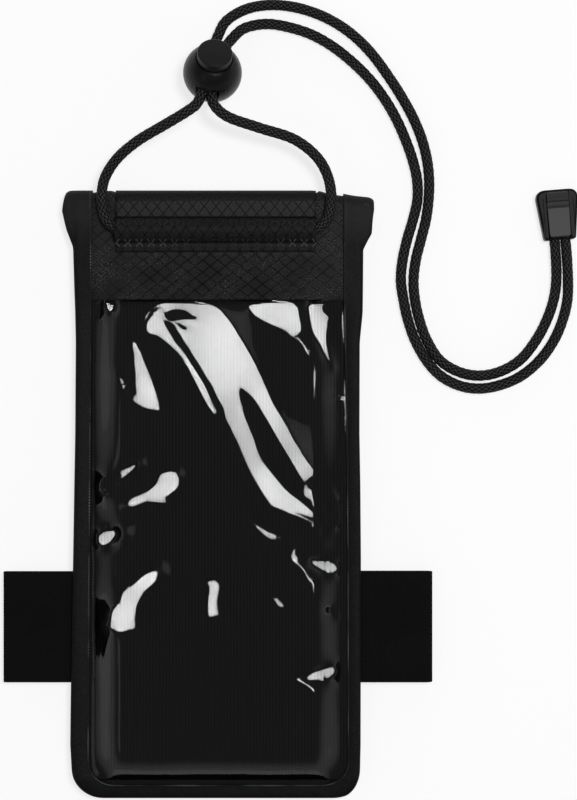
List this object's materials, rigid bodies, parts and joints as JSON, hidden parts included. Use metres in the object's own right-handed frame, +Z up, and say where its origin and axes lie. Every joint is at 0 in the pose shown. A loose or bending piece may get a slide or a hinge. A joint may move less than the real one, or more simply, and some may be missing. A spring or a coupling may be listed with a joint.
{
  "type": "waterproof phone pouch",
  "caption": "Waterproof phone pouch with a clear window, rolled hook-and-loop top, neck lanyard with a ball cord lock, and an elastic armband.",
  "frame": {"origin": "on the surface the pouch lies on, under the middle of the box round the pouch and its armband", "axes": "+Y towards the rolled top, +X to the right with the window seen from above, +Z up out of the window"},
  "size_m": [0.1964, 0.2727, 0.0221],
  "materials": {
    "coated_cloth": "black coated ripstop, low sheen",
    "sleeve_cloth": "black coated cloth with embossed diamonds",
    "binding_tape": "black coated tape, low sheen",
    "clear_film": "clear glossy soft film",
    "hook_and_loop": "black hook and loop pile",
    "seal_plastic": "dark soft plastic",
    "elastic_webbing": "matte black elastic",
    "braided_cord": "black round braid",
    "lock_plastic": "black satin plastic",
    "cord_end_plastic": "dark grey satin plastic",
    "spring_steel": "bright spring wire"
  },
  "bodies": {
    "pouch": {"back_panel": "coated_cloth", "header_panel": "coated_cloth", "window_film": "clear_film", "edge_binding": "binding_tape", "cord_sleeve": "sleeve_cloth", "closure_hook_strip": "hook_and_loop", "closure_loop_strip": "hook_and_loop", "seal_track_back": "seal_plastic", "seal_track_front": "seal_plastic", "armband": "elastic_webbing", "armband_hook_patch": "hook_and_loop", "armband_sleeve": "coated_cloth", "lanyard_cord": "braided_cord", "cord_lock_housing": "lock_plastic", "cord_lock_spring": "spring_steel", "cord_end_body": "lock_plastic", "cord_end_bar": "cord_end_plastic"},
    "button": {"cord_lock_plunger": "lock_plastic"}
  },
  "joints": [
    {"name": "button_press", "type": "slide", "parent": "pouch", "child": "button", "axis": [-0.1086, -0.5111, -0.8526], "range_m": [0, 0.002], "stiffness_N_per_m": 500, "springref_m": -0.002, "deforming": ["cord_lock_spring"]}
  ]
}
